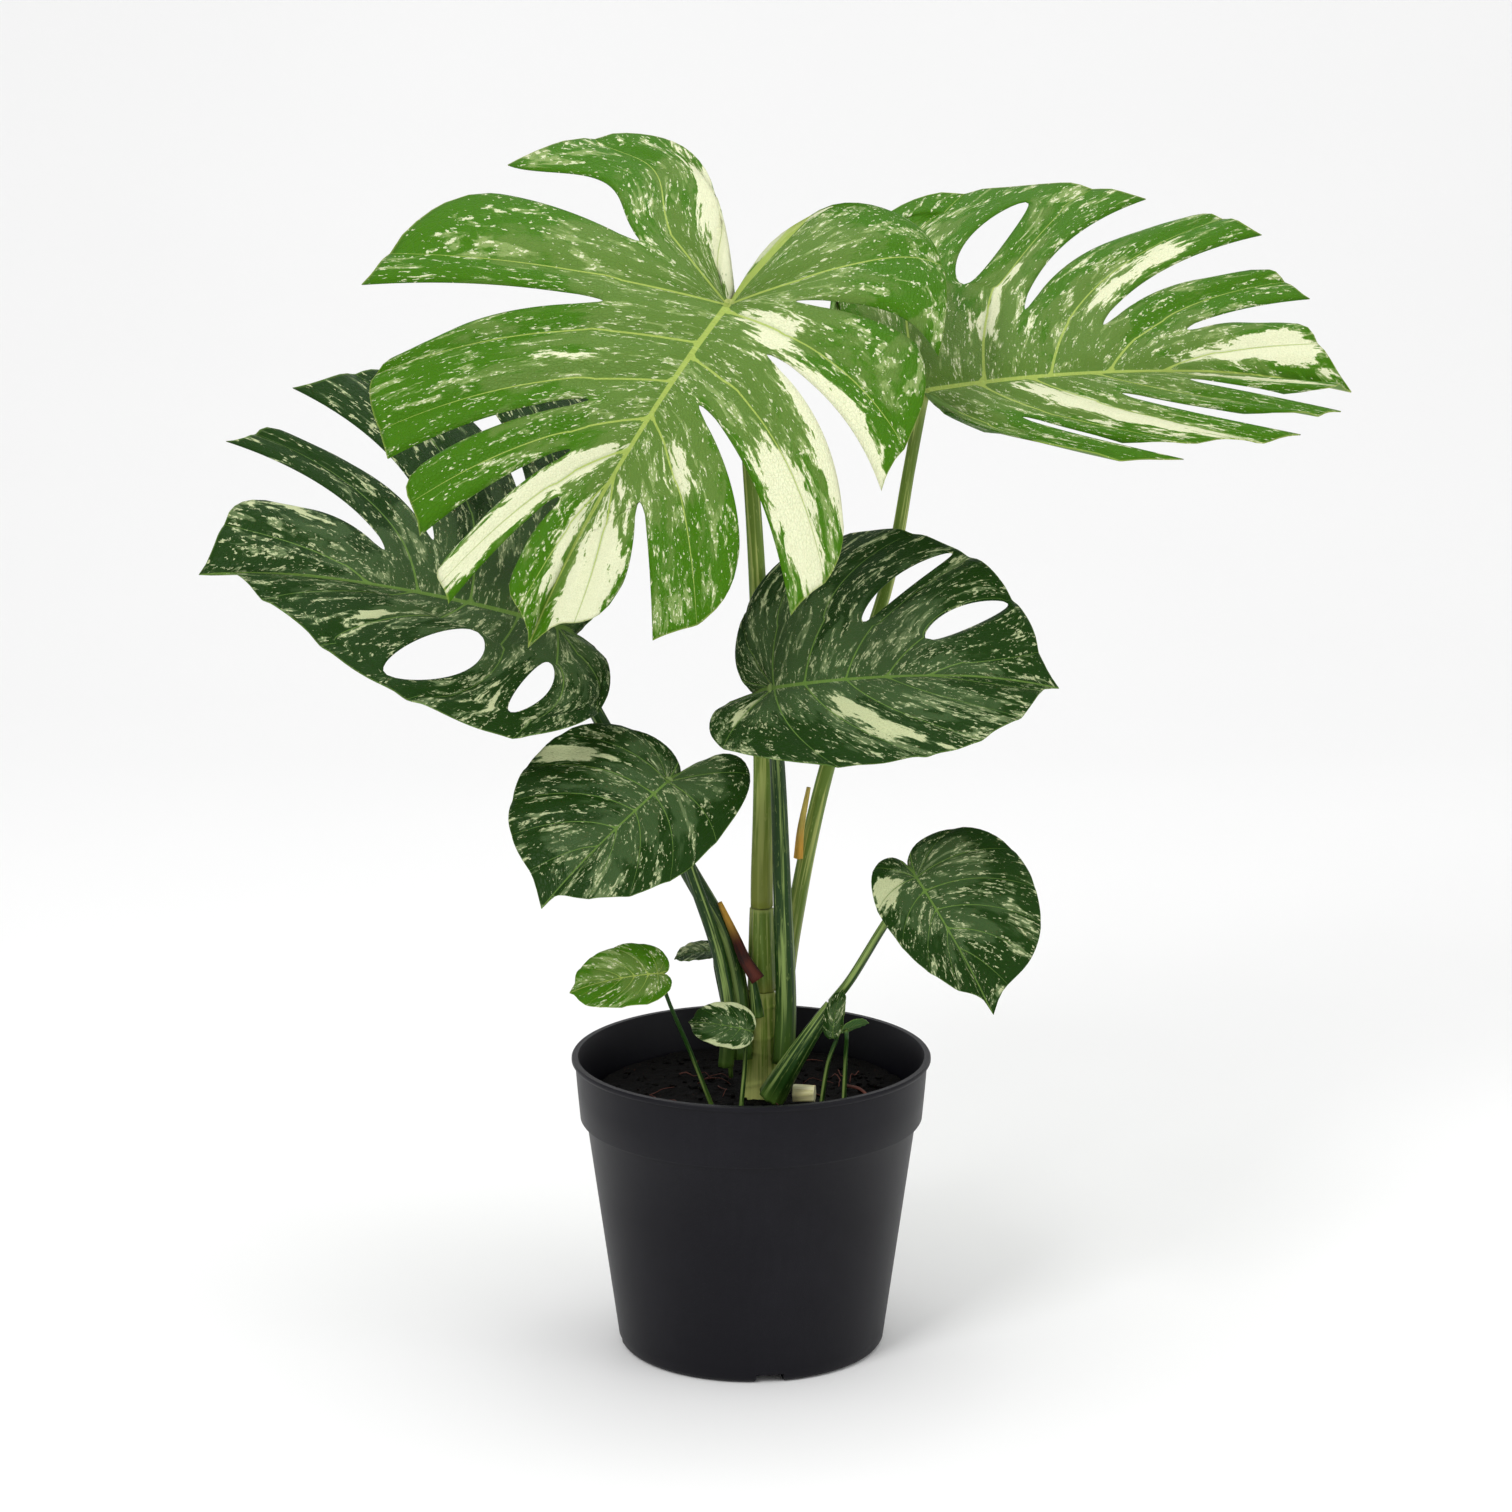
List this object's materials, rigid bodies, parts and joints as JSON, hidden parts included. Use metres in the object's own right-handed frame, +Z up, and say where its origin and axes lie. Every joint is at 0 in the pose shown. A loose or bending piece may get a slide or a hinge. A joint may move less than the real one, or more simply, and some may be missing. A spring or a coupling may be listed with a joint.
{
  "type": "potted monstera plant",
  "caption": "Split-leaf monstera plant with cream-marbled leaves on long stalks, standing in a tapered black nursery pot.",
  "frame": {"origin": "centre of the pot's base, on the surface that it stands on", "axes": "+Z up along the pot's axis; -Y is the front that the largest leaf faces; +X to the right of it"},
  "size_m": [0.6656, 0.3331, 0.6981],
  "materials": {
    "black_pot": "thin black moulded plastic, satin to matte",
    "soil": "dark damp bark and peat mix, rough",
    "pale_stem": "pale cream-green living stem, satin",
    "dark_stalk": "dark green living stalk with pale ridges, satin",
    "pale_stalk": "olive living stalk with cream streaks, satin",
    "dry_sheath": "dry red-brown sheath, papery",
    "straw_sheath": "dry straw-yellow sheath, papery",
    "cut_stub": "pale cut stalk end, matte",
    "root": "thin reddish root, rough",
    "young_leaf": "living leaf, light green marbled with cream, satin",
    "mature_leaf": "living leaf, dark green flecked with cream, satin"
  },
  "bodies": {
    "root": {"nursery_pot": "black_pot", "potting_soil": "soil", "main_stem": "pale_stem", "base_sheath": "dark_stalk", "green_sheath_point": "dark_stalk", "dry_sheath_strip": "dry_sheath", "dry_sheath_flap": "straw_sheath", "cut_stub": "cut_stub", "top_leaf_blade": "young_leaf", "top_leaf_petiole": "pale_stalk", "top_leaf_sheath": "pale_stalk", "upper_right_leaf_blade": "young_leaf", "upper_right_leaf_petiole": "pale_stalk", "left_leaf_blade": "mature_leaf", "left_leaf_petiole": "dark_stalk", "middle_right_leaf_blade": "mature_leaf", "middle_right_leaf_petiole": "dark_stalk", "lower_left_leaf_blade": "mature_leaf", "lower_left_leaf_petiole": "dark_stalk", "lower_right_leaf_blade": "mature_leaf", "lower_right_leaf_petiole": "dark_stalk", "small_leaf_1": "mature_leaf", "small_leaf_2": "mature_leaf", "small_leaf_3": "mature_leaf", "small_leaf_4": "mature_leaf", "small_leaf_5": "mature_leaf", "small_stalk_1": "dark_stalk", "small_stalk_2": "dark_stalk", "small_stalk_3": "dark_stalk", "small_stalk_4": "dark_stalk", "small_stalk_5": "dark_stalk", "soil_root_1": "root", "soil_root_2": "root", "soil_root_3": "root", "soil_root_4": "root", "soil_root_5": "root"}
  },
  "joints": []
}
